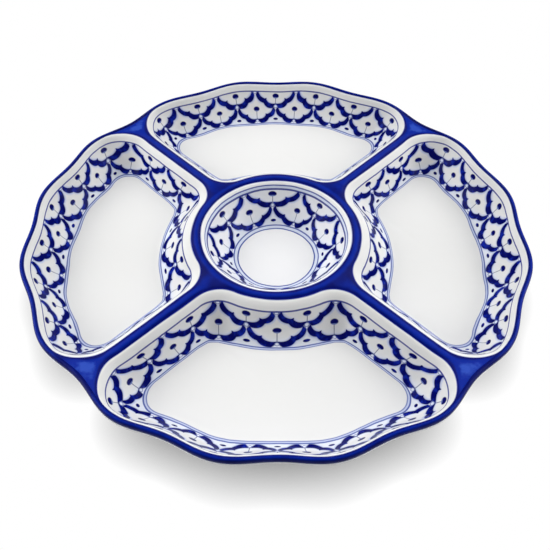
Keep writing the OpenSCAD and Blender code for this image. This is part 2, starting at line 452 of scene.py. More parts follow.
    def off_divider(self, angle: Values, meeting: np.ndarray) -> Values:
        """How far an angle lies from the nearest divider, as a share of a round's bearing."""
        return np.abs((angle % (math.pi / 2)) - HALF_QUARTER) / bearing(meeting)

    def saddle(self, angle: Values) -> Values:
        """Share of the crown that the collar's outer edge keeps where a divider joins it."""
        return np.clip(1 - self.off_divider(angle, self.heel_centre) ** 2, 0, 1) ** 1.5


def add_object(name: str, data: bpy.types.ID) -> bpy.types.Object:
    """Adds an object to the scene that shows a mesh, a light or a camera."""
    added = bpy.data.objects.new(name, data)
    bpy.context.scene.collection.objects.link(added)
    return added


def corners(values: np.ndarray) -> np.ndarray:
    """Gives each face of a grid the values at its four corners.

    Args:
        values: Rows and columns of values, with the closing row and column where it closes.

    Returns:
        Values by face and corner.
    """
    found = np.stack([values[:-1, :-1], values[:-1, 1:], values[1:, 1:], values[1:, :-1]], axis=2)
    return found.reshape((-1, 4) + values.shape[2:])


@dataclass
class MeshDraft:
    """Points and faces of one piece, with what each face corner carries."""

    points: list[np.ndarray] = field(default_factory=list)
    faces: list[np.ndarray] = field(default_factory=list)
    motifs: list[np.ndarray] = field(default_factory=list)
    pools: list[np.ndarray] = field(default_factory=list)

    def add_points(self, points: np.ndarray) -> int:
        """Adds points and gives the number of the first."""
        start = sum(len(part) for part in self.points)
        self.points.append(points.reshape(-1, 3))
        return start

    def add_faces(self, faces: np.ndarray, motif: np.ndarray | None = None,
                  pool: np.ndarray | None = None) -> None:
        """Adds faces that all have the same number of corners.

        Args:
            faces: Point numbers by face and corner.
            motif: Place in the painted lattice by face and corner, or none.
            pool: Depth of the glaze by face and corner, which along crowns also carries a painted
                highlight, or none.
        """
        self.faces.append(faces)
        self.motifs.append(np.zeros(faces.shape + (3,)) if motif is None else motif)
        self.pools.append(np.zeros(faces.shape) if pool is None else pool)

    def add_grid(self, points: np.ndarray, wrap_rows: bool = False,
                 motif: np.ndarray | None = None, pool: np.ndarray | None = None) -> np.ndarray:
        """Adds a grid of points with a face between each four, closed from column to column.

        Args:
            points: Rows and columns of points.
            wrap_rows: Whether the last row joins the first.
            motif: Place in the painted lattice at each grid point, closing ones included.
            pool: Depth of the glaze at each grid point, closing ones included, which along crowns
                also carries a painted highlight.

        Returns:
            The grid's point numbers by row and column, without closing ones.
        """
        rows, columns = points.shape[:2]
        numbers = self.add_points(points) + np.arange(rows * columns).reshape(rows, columns)
        closed = np.concatenate([numbers, numbers[:1]]) if wrap_rows else numbers
        closed = np.concatenate([closed, closed[:, :1]], axis=1)
        self.add_faces(corners(closed), None if motif is None else corners(motif),
                       None if pool is None else corners(pool))
        return numbers

    def add_fan(self, centre: Sequence[float], ring: np.ndarray, marks: np.ndarray, level: float,
                against: bool) -> None:
        """Closes a ring with triangles to its centre.

        Args:
            centre: The centre point.
            ring: Point numbers round the ring.
            marks: Place in the painted lattice round the ring, its closing one included.
            level: Height in the lattice at the centre.
            against: Whether the triangles run against the ring's order.
        """
        number = self.add_points(np.array(centre, float))
        order = [1, 0, 2] if against else [0, 1, 2]
        faces = np.stack([ring, np.roll(ring, -1), np.full(len(ring), number)], -1)
        tips = marks[:-1] * [1, 0, 1] + [0, level, 0]
        self.add_faces(faces[:, order], np.stack([marks[:-1], marks[1:], tips], 1)[:, order])

    def build(self, name: str, turn: float, crease: float) -> bpy.types.Object:
        """Makes the mesh object, turned about the dish's axis.

        Args:
            name: Name of the piece.
            turn: Angle to turn it by.
            crease: Angle between faces from which their edge stays sharp.

        Returns:
            The object, linked into the scene.
        """
        points = np.concatenate(self.points) @ np.array(Matrix.Rotation(turn, 3, "Z")).T
        volume = 0.0
        for faces in self.faces:
            for corner in range(1, faces.shape[1] - 1):
                first, second, third = (points[faces[:, k]] for k in (0, corner, corner + 1))
                volume += float(np.einsum("ij,ij->", first, np.cross(second, third)))
        order = -1 if volume < 0 else 1
        faces = [face[::order] for part in self.faces for face in part.tolist()]
        mesh = bpy.data.meshes.new(name)
        mesh.from_pydata(points.tolist(), [], faces)
        for label, kind, value, parts in ((MOTIF, "FLOAT_VECTOR", "vector", self.motifs),
                                          (POOL_AND_SHEEN, "FLOAT", "value", self.pools)):
            flat = np.concatenate([part[:, ::order].ravel() for part in parts])
            layer = mesh.attributes.new(label, kind, "CORNER")
            layer.data.foreach_set(value, flat.astype(np.float32))
        mesh.shade_smooth()
        mesh.set_sharp_from_angle(angle=crease)
        mesh.update()
        return add_object(name, mesh)


class Wire:
    """The value of one socket, on which Python's operators add Math nodes."""

    def __init__(self, bench: Bench, socket: bpy.types.NodeSocket) -> None:
        """Wraps an output socket of the bench's node tree."""
        self.bench = bench
        self.socket = socket

    def __add__(self, other: Feed) -> Wire:
        """Adds the other value."""
        return self.bench.maths("ADD", self, other)

    __radd__ = __add__

    def __sub__(self, other: Feed) -> Wire:
        """Takes the other value away."""
        return self.bench.maths("SUBTRACT", self, other)

    def __rsub__(self, other: Feed) -> Wire:
        """Takes this value away from the other."""
        return self.bench.maths("SUBTRACT", other, self)

    def __mul__(self, other: Feed) -> Wire:
        """Multiplies by the other value."""
        return self.bench.maths("MULTIPLY", self, other)

    __rmul__ = __mul__

    def __truediv__(self, other: Feed) -> Wire:
        """Divides by the other value."""
        return self.bench.maths("DIVIDE", self, other)

    def __rtruediv__(self, other: Feed) -> Wire:
        """Divides the other value by this one."""
        return self.bench.maths("DIVIDE", other, self)

    def __pow__(self, other: Feed) -> Wire:
        """Raises this value to a power."""
        return self.bench.maths("POWER", self, other)

    def __rpow__(self, other: Feed) -> Wire:
        """Raises the other value to the power of this one."""
        return self.bench.maths("POWER", other, self)

    def __abs__(self) -> Wire:
        """Drops the value's sign."""
        return self.bench.maths("ABSOLUTE", self)


class Bench:
    """The node tree of one material or world, where all of its nodes are made."""

    def __init__(self, tree: bpy.types.NodeTree) -> None:
        """Takes over an empty node tree."""
        tree.nodes.clear()
        self.tree = tree

    def node(self, kind: str, settings: Mapping[str, object], feeds: Mapping[str | int, Feed],
             output: str | int = 0) -> Wire:
        """Adds one node.

        Args:
            kind: Blender's name of the node type.
            settings: The node's own settings, set before its sockets.
            feeds: Values or wires for its input sockets, by name or number.
            output: The output that the wire leaves from.

        Returns:
            A wire from that output.
        """
        made = self.tree.nodes.new(kind)
        for name, value in settings.items():
            setattr(made, name, value)
        for name, value in feeds.items():
            if isinstance(value, Wire):
                self.tree.links.new(value.socket, made.inputs[name])
            else:
                made.inputs[name].default_value = value
        return Wire(self, made.outputs[output] if len(made.outputs) else None)

    def maths(self, operation: str, *values: Feed) -> Wire:
        """Adds a Math node on one to three values."""
        return self.node("ShaderNodeMath", {"operation": operation}, dict(enumerate(values)))

    def fade(self, value: Feed, low: Feed, high: Feed) -> Wire:
        """Runs smoothly from 0 at the low value to 1 at the high one."""
        return self.node("ShaderNodeMapRange", {"interpolation_type": "SMOOTHSTEP"},
                         {"Value": value, "From Min": low, "From Max": high})

    def span(self, value: Feed, rise: Span, fall: Span) -> Wire:
        """Is 1 between a rise and a fall, each given by where it starts and ends."""
        return self.fade(value, *rise) * (1 - self.fade(value, *fall))

    def within(self, distance: Wire, reach: Feed, soft: float) -> Wire:
        """Is 1 nearer than the reach and 0 beyond it, with a soft edge."""
        return self.fade(reach - distance, -soft, soft)

    def blend(self, share: Feed, first: Feed, second: Feed) -> Wire:
        """Mixes two colours by a share of 0 to 1."""
        return self.node("ShaderNodeMix", {"data_type": "RGBA"}, {0: share, 6: first, 7: second},
                         output=2)

    def attribute(self, name: str, output: str) -> Wire:
        """Reads what the mesh carries under a name."""
        return self.node("ShaderNodeAttribute", {"attribute_name": name}, {}, output=output)

    def parts(self, vector: Wire) -> tuple[Wire, Wire, Wire]:
        """Splits a vector into its three numbers."""
        first = self.node("ShaderNodeSeparateXYZ", {}, {0: vector})
        sockets = first.socket.node.outputs
        return (first, Wire(self, sockets[1]), Wire(self, sockets[2]))

    def backdrop_share(self) -> Wire:
        """Is 1 for rays that show the backdrop, straight or in gloss or glass, and 0 for light."""
        shows = [self.node("ShaderNodeLightPath", {}, {}, output=name)
                 for name in ("Is Camera Ray", "Is Glossy Ray", "Is Transmission Ray")]
        return self.maths("MAXIMUM", self.maths("MAXIMUM", shows[0], shows[1]), shows[2])

    def place(self) -> Wire:
        """Gives the point's place in the dish's own frame."""
        return self.node("ShaderNodeTexCoord", {}, {}, output="Object")

    def noise(self, place: Feed, scale: float, detail: float = 2.0, output: int = 0) -> Wire:
        """Adds cloudy noise.

        Args:
            place: Where to read it.
            scale: Clouds to a metre.
            detail: How many finer layers it has.
            output: 0 for its number and 1 for its colour.

        Returns:
            The noise, about 0.5 on average.
        """
        return self.node("ShaderNodeTexNoise", {},
                         {"Vector": place, "Scale": scale, "Detail": detail}, output=output)

    def bump(self, height: Wire, depth: float) -> Wire:
        """Turns a height of 0 to 1 into a shading normal, for a depth in metres."""
        return self.node("ShaderNodeBump", {},
                         {"Height": height, "Distance": depth, "Strength": 1.0})

    def surface(self, feeds: Mapping[str | int, Feed]) -> None:
        """Ends the tree in a glossy or matt surface."""
        shader = self.node("ShaderNodeBsdfPrincipled", {}, feeds)
        self.node("ShaderNodeOutputMaterial", {}, {"Surface": shader})


def new_bench(name: str) -> tuple[bpy.types.Material, Bench]:
    """Makes a material and the bench for its nodes."""
    material = bpy.data.materials.new(name)
    material.use_nodes = True
    return material, Bench(material.node_tree)


@dataclass(frozen=True)
class Stroke:
    """One brush stroke of the lattice: an arc that bulges outward, with scallops along it."""

    start: Span
    end: Span
    bow: float = 0.11
    scallops: int = 2
    rise: Span = (-0.04, 0.05)
    fall: Span = (0.95, 1.04)
    thorns_rise: Span = (0.12, 0.25)
    thorns_fall: Span = (0.75, 0.88)

    @property
    def along(self) -> np.ndarray:
        """Chord from its start to its end."""
        return np.array(self.end) - np.array(self.start)

    @property
    def length(self) -> float:
        """Length of the chord."""
        return float(np.linalg.norm(self.along))

    @property
    def radius(self) -> float:
        """Radius of the arc."""
        return self.length * (0.25 + self.bow**2) / (2 * self.bow)

    @property
    def centre(self) -> np.ndarray:
        """Centre of the arc, on the stroke's inner side."""
        along = self.along / self.length
        outward = np.array([along[1], -along[0]])
        middle = (np.array(self.start) + np.array(self.end)) / 2
        return middle + outward * (self.bow * self.length - self.radius)


@dataclass(frozen=True)
class Motif:
    """Wires that tell where a point lies in the lattice.

    The level runs from 0 at the top line to 1 at the foot line. The other lengths are in
    millimetres: across from the motif's axis, apart from the line between two motifs, and down
    from the top line.
    """

    bench: Bench
    place: Wire
    level: Wire
    across: Wire
    apart: Wire
    down: Wire


@dataclass(frozen=True)
class LatticeGlaze:
    """White glaze over the painted lattice, drawn in millimetres across and down a motif."""

    name: str
    pitch: float
    drop: float
    drift: float = 0.035
    line_w: float = 0.62
    wash_w: float = 1.3
    double_top: bool = False
    stroke_w: float = 3.65
    stroke_tip: float = 0.02
    sweep_start: float = 0.455
    sweep_lift: float = 0.2
    scoop_start: float = 0.468
    scoop_gap: float = 0.9
    scoop_bow: float = 0.13
    tip_share: float = 0.79
    swell_share: float = 0.3
    scallop_h: float = 1.0
    thorn_h: float = 0.7
    bleed_w: float = 0.6
    bleed_soft: float = 0.8
    stem_w: float = 0.24
    buds_at: Span = (0.13, 0.52)
    bud_share: float = 0.075
    dash_at: float = 0.86
    dash_share: float = 0.062
    dash_h: float = 0.95
    knot_r: float = 1.15
    middle_knot_r: float = 1.25
    knot_drop: float = 0.2
    heart_share: float = 0.7
    brim: float = -0.36
    brim_w: float = 0.55
    brim_sway: float = 1.6
    brim_soft: float = 0.1
    fringe_w: float = 0.8
    brim_start: Span = (-0.9, -0.8)
    soft: float = 0.25
    fine_soft: float = 0.15
    white: Colour = linear(240, 240, 238)
    grey_and_shade: Colour = linear(231, 231, 231)
    bluish: Colour = linear(228, 234, 246)
    dark: Colour = linear(0, 5, 96)
    streak: Colour = linear(16, 38, 158)
    bleed: Colour = linear(178, 191, 234)
    thin: Colour = linear(78, 88, 132)
    line_blue: Colour = linear(18, 36, 140)
    pale_blue: Colour = linear(196, 206, 236)
    ring_blue: Colour = linear(104, 120, 186)
    pearl: Colour = linear(222, 227, 240)
    mid_blue: Colour = linear(50, 74, 164)
    brim_blue: Colour = linear(8, 24, 130)

    @property
    def top(self) -> float:
        """How far down the upper strokes start."""
        return 0.02 * self.drop

    @property
    def middle(self) -> float:
        """How far down the upper strokes end and the lower ones start."""
        return 0.43 * self.drop

    @property
    def bottom(self) -> float:
        """How far down the lower strokes end."""
        return 0.9 * self.drop

    def read_motif(self, bench: Bench) -> Motif:
        """Reads where a point lies in the lattice, unsteady as a hand is."""
        turned, level, _ = bench.parts(bench.attribute(MOTIF, "Vector"))
        place = bench.place()
        drift_x, drift_y, _ = bench.parts(bench.noise(place, 90, 2, output=1))
        cell = bench.maths("FRACT", turned + (drift_x - 0.5) * self.drift + 0.5) - 0.5
        across = abs(cell) * self.pitch
        down = (level + (drift_y - 0.5) * self.drift) * self.drop
        return Motif(bench, place, level, across, self.pitch / 2 - across, down)

    def draw_stroke(self, motif: Motif, across: Wire, stroke: Stroke) -> tuple[Wire, Wire]:
        """Draws one stroke and its mirror image, and the glaze that its ink bleeds into.

        Args:
            motif: The point's place in the lattice.
            across: Distance from the axis that the stroke is mirrored at.
            stroke: The stroke.

        Returns:
            The stroke and its bleeding, each 1 inside and 0 outside.
        """
        bench = motif.bench
        along = stroke.along / stroke.length
        share = ((across - stroke.start[0]) * float(along[0])
                 + (motif.down - stroke.start[1]) * float(along[1])) / stroke.length
        from_x = across - float(stroke.centre[0])
        from_y = motif.down - float(stroke.centre[1])
        beat = abs(bench.maths("SINE", share * (math.pi * stroke.scallops)))
        offset = (from_x * from_x + from_y * from_y) ** 0.5 - stroke.radius - beat * self.scallop_h
        ends = bench.span(share, stroke.rise, stroke.fall)
        thorny = bench.span(share, stroke.thorns_rise, stroke.thorns_fall)
        near_side = bench.fade(offset, -stroke.radius, -stroke.radius * 0.5)
        thorn = (1 - bench.fade(beat, 0.0, 0.35)) * thorny * self.thorn_h
        girth = ends * (share * self.swell_share + self.tip_share) * (self.stroke_w / 2)
        depth = bench.maths("MINIMUM", girth - offset, girth + thorn + offset)
        ink = bench.fade(depth, -self.soft, self.soft)
        spread = bench.within(abs(offset), self.stroke_w / 2 + self.bleed_w, self.bleed_soft)
        return ink * ends * near_side, spread * ends * near_side

    def draw_strokes(self, motif: Motif) -> tuple[Wire, Wire]:
        """Draws the strokes of both rows, the lower one half a motif further on.

        Args:
            motif: The point's place in the lattice.

        Returns:
            The strokes and their bleeding, each 1 inside and 0 outside.
        """
        tip = self.stroke_tip * self.pitch
        sweep = Stroke((self.sweep_start * self.pitch, self.top),
                       (tip, self.middle - self.sweep_lift))
        scoop = Stroke((self.scoop_start * self.pitch, self.middle + self.scoop_gap),
                       (tip, self.bottom), self.scoop_bow)
        upper, upper_bleed = self.draw_stroke(motif, motif.across, sweep)
        lower, lower_bleed = self.draw_stroke(motif, motif.apart, scoop)
        bench = motif.bench
        below = bench.fade(motif.down, -0.2, 0.1)
        return (bench.maths("MAXIMUM", upper, lower) * below,
                bench.maths("MAXIMUM", upper_bleed, lower_bleed) * below)

    def spot(self, motif: Motif, across: Wire, height: float, wide: float, tall: float,
             soft: float = 0.15) -> Wire:
        """Draws an oval spot on an axis.

        Args:
            motif: The point's place in the lattice.
            across: Distance from the axis.
            height: How far down the spot's middle lies.
            wide: Half its width.
            tall: Half its height.
            soft: Softness of its edge as a share of its size.

        Returns:
            1 on the spot and 0 off it.
        """
        over = across / wide
        under = (motif.down - height) / tall
        return 1 - motif.bench.fade((over * over + under * under) ** 0.5, 1 - soft, 1 + soft)

    def tints(self, motif: Motif, spread: Wire) -> list[Coat]:
        """Lists the tints under the paint: greyer over the lattice, partly the glaze's tint and
        partly painted shade on the wall, and bluer at its foot.

        Args:
            motif: The point's place in the lattice.
            spread: 1 where the strokes' ink bleeds into the glaze.

        Returns:
            How far each covers, and its colour.
        """
        inside = motif.bench.span(motif.level, (-0.03, 0.03), (0.93, 1.0))
        foot = motif.bench.span(motif.level, (0.6, 0.92), (0.98, 1.02))
        # The grey over the lattice is partly painted shade on the well's wall.
        return [(inside * 0.8, self.grey_and_shade), (foot * 0.8, self.bluish), (spread * 0.75, self.bleed)]

    def plants(self, motif: Motif) -> list[Coat]:
        """Lists the coats of a stem with its bud on each axis.

        Args:
            motif: The point's place in the lattice.

        Returns:
            How far each covers, and its colour.
        """
        bench, down = motif.bench, motif.down
        coats = []
        for distance, share, stop in ((motif.across, self.buds_at[0], self.middle),
                                      (motif.apart, self.buds_at[1], self.bottom)):
            start = share * self.drop
            stem = bench.span(down, (start, start + 0.4), (stop, stop + 0.3))
            stem = stem * bench.within(distance, self.stem_w, self.fine_soft)
            bud = self.spot(motif, distance, start, self.bud_share * self.pitch,
                            self.bud_share * self.drop)
            shade = bench.fade(down, start + 0.7, start + 1.1)
            coats += [(stem * 0.8, self.thin), (bud, bench.blend(shade, self.dark, self.ring_blue))]
        return coats

    def knots(self, motif: Motif) -> list[Coat]:
        """Lists the coats of the pearly knots where strokes meet.

        Args:
            motif: The point's place in the lattice.

        Returns:
            How far each covers, and its colour.
        """
        coats = []
        for distance, height, size in ((motif.apart, self.top + self.knot_drop, self.knot_r),
                                       (motif.across, self.middle + self.knot_drop,
                                        self.middle_knot_r),
                                       (motif.apart, self.bottom, self.knot_r)):
            inner = size * self.heart_share
            coats += [(self.spot(motif, distance, height, size, size), self.ring_blue),
                      (self.spot(motif, distance, height, inner, inner, 0.25), self.pearl)]
        return coats

    def lines(self, motif: Motif) -> list[Coat]:
        """Lists the lines round the lattice, each washed stripe before the lines on its edges.

        Args:
            motif: The point's place in the lattice.

        Returns:
            How far each covers, and its colour.
        """
        half = self.line_w / 2
        foot = self.drop + self.wash_w / 2
        found = [(foot, self.wash_w / 2, self.pale_blue), (self.drop, half * 1.15, self.mid_blue),
                 (self.drop + self.wash_w, half * 0.8, self.ring_blue)]
        if self.double_top:
            found += [(-self.wash_w / 2, self.wash_w / 2, self.pale_blue),
                      (-self.wash_w, half * 1.1, self.mid_blue),
                      (self.drop + self.wash_w, half * 1.1, self.mid_blue)]
        found.append((0.0, half * 1.65, self.line_blue))
        return [(motif.bench.within(abs(motif.down - height), width, self.fine_soft) * 0.9, paint)
                for height, width, paint in found]

    def brim_coats(self, motif: Motif) -> list[Coat]:
        """Lists the fringe and the blue of the brim on the shoulder, with its wandering edge.

        Args:
            motif: The point's place in the lattice.

        Returns:
            How far each covers, and its colour.
        """
        bench = motif.bench
        wander = (bench.noise(motif.place, 28, 1) - 0.5) * self.brim_sway
        edge = (motif.level - self.brim) * self.drop - wander
        face = bench.fade(motif.level, *self.brim_start)
        fringe = (1 - bench.fade(edge, self.brim_w, self.brim_w + self.fringe_w)) * face
        paint = 1 - bench.fade(edge, self.brim_w - self.brim_soft, self.brim_w + self.brim_soft)
        return [(fringe * 0.7, self.ring_blue), (paint * face, self.brim_blue)]

    def make(self) -> bpy.types.Material:
        """Builds the material.

        Returns:
            The material.
        """
        material, bench = new_bench(self.name)
        motif = self.read_motif(bench)
        strokes, spread = self.draw_strokes(motif)
        brush = bench.noise(motif.place, 260, 3)
        ink = bench.blend(bench.fade(brush, 0.46, 0.72), self.dark, self.streak)
        dash = self.spot(motif, motif.across, self.dash_at * self.drop,
                         self.dash_share * self.pitch, self.dash_h)
        colour = self.white
        for share, paint in (*self.tints(motif, spread), *self.plants(motif), (dash, ink),
                             (strokes, ink), *self.knots(motif), *self.lines(motif),
                             *self.brim_coats(motif)):
            colour = bench.blend(share, colour, paint)
        ripple = bench.noise(motif.place, 60, 1)
        bench.surface({"Base Color": colour, "Roughness": 0.12, "Specular IOR Level": 0.03,
                       "Normal": bench.bump(ripple + strokes * 0.12, 0.3 * MM)})
        return material


@dataclass(frozen=True)
class CobaltGlaze:
    """Deep blue glaze: darker where it pools, paler along crowns as partly thinner glaze and partly
    a painted highlight, with a painted highlight as a paler mottled streak on the flares, and bare
    on the lip.
    """

    name: str
    thinning_and_sheen: Span = (0.1, 1.0)
    flare_highlight_span: Span = (1.15, 1.9)
    fraying: Span = (-0.4, -0.25)
    baring: Span = (-0.75, -0.6)
    dark: Colour = linear(0, 10, 98)
    light: Colour = linear(2, 36, 152)
    flare_highlight: Colour = linear(46, 80, 188)
    bleed: Colour = linear(112, 134, 210)
    # Lighter than the wells' white glaze: painted light that lifts the shaded lip.
    lip: Colour = linear(246, 247, 250)

    def make(self) -> bpy.types.Material:
        """Builds the material.

        Returns:
            The material.
        """
        material, bench = new_bench(self.name)
        pool = bench.attribute(POOL_AND_SHEEN, "Fac")
        place = bench.place()
        cloud = bench.noise(place, 110, 3)
        # Paler where the value is high: partly thinner glaze and partly a painted highlight along
        # the crowns' tops.
        thin = bench.fade(pool + (cloud - 0.5) * 0.9, *self.thinning_and_sheen)
        glaze = bench.blend(thin, self.dark, self.light)
        mottle = bench.noise(place, 230, 2)
        # Painted highlight: a paler mottled streak where the value runs highest, on the dividers'
        # flares at the rim.
        streak = bench.fade(pool + (mottle - 0.5) * 1.5, *self.flare_highlight_span)
        glaze = bench.blend(streak * 0.9, glaze, self.flare_highlight)
        edge = pool + (cloud - 0.5) * 0.12
        fringe = 1 - bench.fade(edge, *self.fraying)
        bare = 1 - bench.fade(edge, *self.baring)
        colour = bench.blend(bare, bench.blend(fringe, glaze, self.bleed), self.lip)
        ripple = bench.noise(place, 140, 1)
        bench.surface({"Base Color": colour, "Roughness": 0.2, "Specular IOR Level": 0.04,
                       "Normal": bench.bump(ripple, 0.25 * MM)})
        return material


@dataclass(frozen=True)
class FootWare:
    """White glaze that stops short of the bare tip the dish stands on."""

    name: str
    sway: float = 1.2 * MM
    wiped_h: Span = (1.1 * MM, 1.5 * MM)
    glaze: Colour = linear(232, 233, 236)
    bare: Colour = linear(205, 192, 172)
    grit: Colour = linear(150, 134, 112)

    def make(self) -> bpy.types.Material:
        """Builds the material.

        Returns:
            The material.
        """
        material, bench = new_bench(self.name)
        place = bench.place()
        height = bench.parts(place)[2]
        wander = bench.noise(place, 120, 2)
        wiped = 1 - bench.fade(height + (wander - 0.5) * self.sway, *self.wiped_h)
        speckle = bench.noise(place, 1800, 2)
        ware = bench.blend(bench.fade(speckle, 0.55, 0.7) * 0.4, self.bare, self.grit)
        bench.surface({"Base Color": bench.blend(wiped, self.glaze, ware),
                       "Roughness": 0.14 + wiped * 0.7,
                       "Normal": bench.bump(speckle * wiped, 0.1 * MM)})
        return material


@dataclass(frozen=True)
class Slips:
    """How one well's hand-painted lattice departs from the even one."""

    lean: float = 0.0
    top: float = 0.0
    foot: float = 0.0
    calm: float = 0.0
    heel: float = 0.12


HAND_SLIPS = {
    Quarter.FRONT: Slips(top=-0.08, calm=0.2),
    Quarter.BACK: Slips(top=0.01, foot=-0.01, calm=0.5),
    Quarter.LEFT: Slips(lean=math.radians(2.6), foot=-0.04, calm=0.6),
    Quarter.RIGHT: Slips(lean=math.radians(-2.2), foot=-0.03, calm=0.6),
}


@dataclass
class Pan:
    """A dished shell of loops of points, with its painted face, its floor and its underside."""

    form: DishForm

    def close(self, name: str, turn: float, loops: np.ndarray, motif: np.ndarray,
              centre: np.ndarray, levels: Span) -> bpy.types.Object:
        """Lays the floor and the underside into the shell and builds it.

        Args:
            name: Name of the piece.
            turn: Angle to turn it by.
            loops: Points round the shell, from the floor's edge over the wall to the underside's.
            motif: Place in the lattice of the face's points.
            centre: Middle of the floor, before it is dished.
            levels: How far the lattice's height runs on over the floor, and that at its middle.

        Returns:
            The piece.
        """
        form = self.form
        rings = np.array(form.floor_rings)[:, None, None]
        floor = mix(centre, loops[:1], rings) - [0, 0, form.floor_dip] * (1 - rings**2)
        floor_motif = motif[:1] + [0, levels[0], 0] * (1 - rings)
        hidden = np.zeros((len(loops) - len(motif),) + motif.shape[1:])
        hidden[..., 1] = HIDDEN_HEIGHT
        loops = np.concatenate([floor, loops])
        motif = np.concatenate([floor_motif, motif, hidden])
        draft = MeshDraft()
        numbers = draft.add_grid(loops[:, :-1], motif=motif)
        draft.add_fan(centre - [0, 0, form.floor_dip], numbers[0], motif[0], levels[1],
                      against=True)
        draft.add_fan(centre - [0, 0, form.shell_t], numbers[-1], motif[-1], HIDDEN_HEIGHT,
                      against=False)
        return draft.build(name, turn, WELL_CREASE)


@dataclass
class Well(Pan):
    """One of the four pans: shoulder, painted wall, floor and underside."""

    anchors: ClassVar[dict[float, tuple[Span, ...]]] = {
        LATTICE_TOP: ((79.7, 2.5), (115.5, 3.5), (150.0, 4.5), (189.5, 5.5), (225.8, 6.5)),
        LATTICE_MIDDLE: ((90.0, 3.0), (121.6, 4.0), (153.0, 5.0), (206.1, 6.5)),
        LATTICE_FOOT: ((69.6, 2.5), (86.3, 3.5), (115.6, 4.5), (140.9, 5.5), (176.1, 6.5)),
    }
    quarter: Quarter
    slips: Slips
    face_rows: int = 46
    shoulder_rows: int = 14
    back_rows: int = 16
    middle_pitch: float = math.radians(12)
    floor_levels: Span = (0.5, 1.6)
    slip_stop: float = 2.3
    heel_motif: float = 5.5
    heel_reach: float = 0.35
    paint_start: float = -0.3

    def lattice_turns(self) -> list[np.ndarray]:
        """Spreads the thirteen motifs round the well at its top, middle and bottom.

        Returns:
            Motif number along half the outline, at those three heights.
        """
        rows = []
        for level, knots in self.anchors.items():
            points = self.form.half_level(level)
            steps = np.linalg.norm(np.diff(points[:, :2], axis=0), axis=1)
            length = np.concatenate([[0], np.cumsum(steps)])
            places, turns = zip((0.0, 0.0), *knots)
            rows.append(np.interp(length, np.array(places) * length[-1] / places[-1], turns))
        return rows

    def motif_rows(self, levels: np.ndarray) -> np.ndarray:
        """Places each grid point of the face in the lattice.

        Args:
            levels: Levels of the face's rows.

        Returns:
            Motif number and height in the lattice, by row and column.
        """
        form = self.form
        top, middle, bottom = self.lattice_turns()
        points = form.half_level(LATTICE_TOP)
        angle = np.arctan2(points[:, 0], -points[:, 1])
        past_rim = np.arange(len(points)) - form.arc_steps * 0.9
        hold = 1 - ease(past_rim / (form.corner_steps * 2))
        shift = self.slips.lean / self.middle_pitch * hold
        lobes = self.slips.calm * hold * form.wave(angle) / form.well_depth
        heel = self.slips.heel * np.exp(-((middle - self.heel_motif) / self.heel_reach) ** 2)
        outer_wall = 1 - ease(middle - self.slip_stop)
        top_slip = self.slips.top * outer_wall
        foot_slip = self.slips.foot * outer_wall + lobes + heel
        rows = []
        heights = form.web_wall.lattice_heights(levels, form.ring_run, form.well_depth)
        for level, height in zip(levels, heights):
            upper = np.clip((level - LATTICE_TOP) / (LATTICE_MIDDLE - LATTICE_TOP), 0, 1)
            lower = np.clip((level - LATTICE_MIDDLE) / (LATTICE_FOOT - LATTICE_MIDDLE), 0, 1)
            half = mix(mix(top, middle, upper), bottom, lower)
            slip = mix(top_slip, foot_slip, np.clip(height, 0, 1)) * (height >= self.paint_start)
            whole = mirrored(half, -1.0) - mirrored(shift)
            rows.append(np.stack([whole, height - mirrored(slip), np.zeros(len(whole))], -1))
        return np.stack(rows)

    def make(self) -> bpy.types.Object:
        """Builds the well's mesh.

        Returns:
            The piece.
        """
        form = self.form
        wall_rows = self.face_rows - self.shoulder_rows
        face_levels = np.concatenate([
            np.linspace(FLOOR_LEVEL, LATTICE_TOP, wall_rows, endpoint=False),
            np.linspace(LATTICE_TOP, 0, self.shoulder_rows),
        ])
        back_levels = np.linspace(LATTICE_TOP, FLOOR_LEVEL, self.back_rows)
        halves = [form.half_level(level) for level in face_levels]
        halves.append(halves[-1] - [0, 0, form.edge_t])
        halves += [form.half_level(level, form.shell_t) for level in back_levels]
        loops = np.stack([mirrored(half, np.array([-1, 1, 1])) for half in halves])
        motif = self.motif_rows(face_levels)
        middle = (form.collar_r + form.ring_run + form.rim_in_r - form.rim_run) / 2
        return self.close(f"well_{self.quarter.label}_glazed", self.quarter.turn, loops, motif,
                          np.array([0, -middle, form.floor_z]), self.floor_levels)


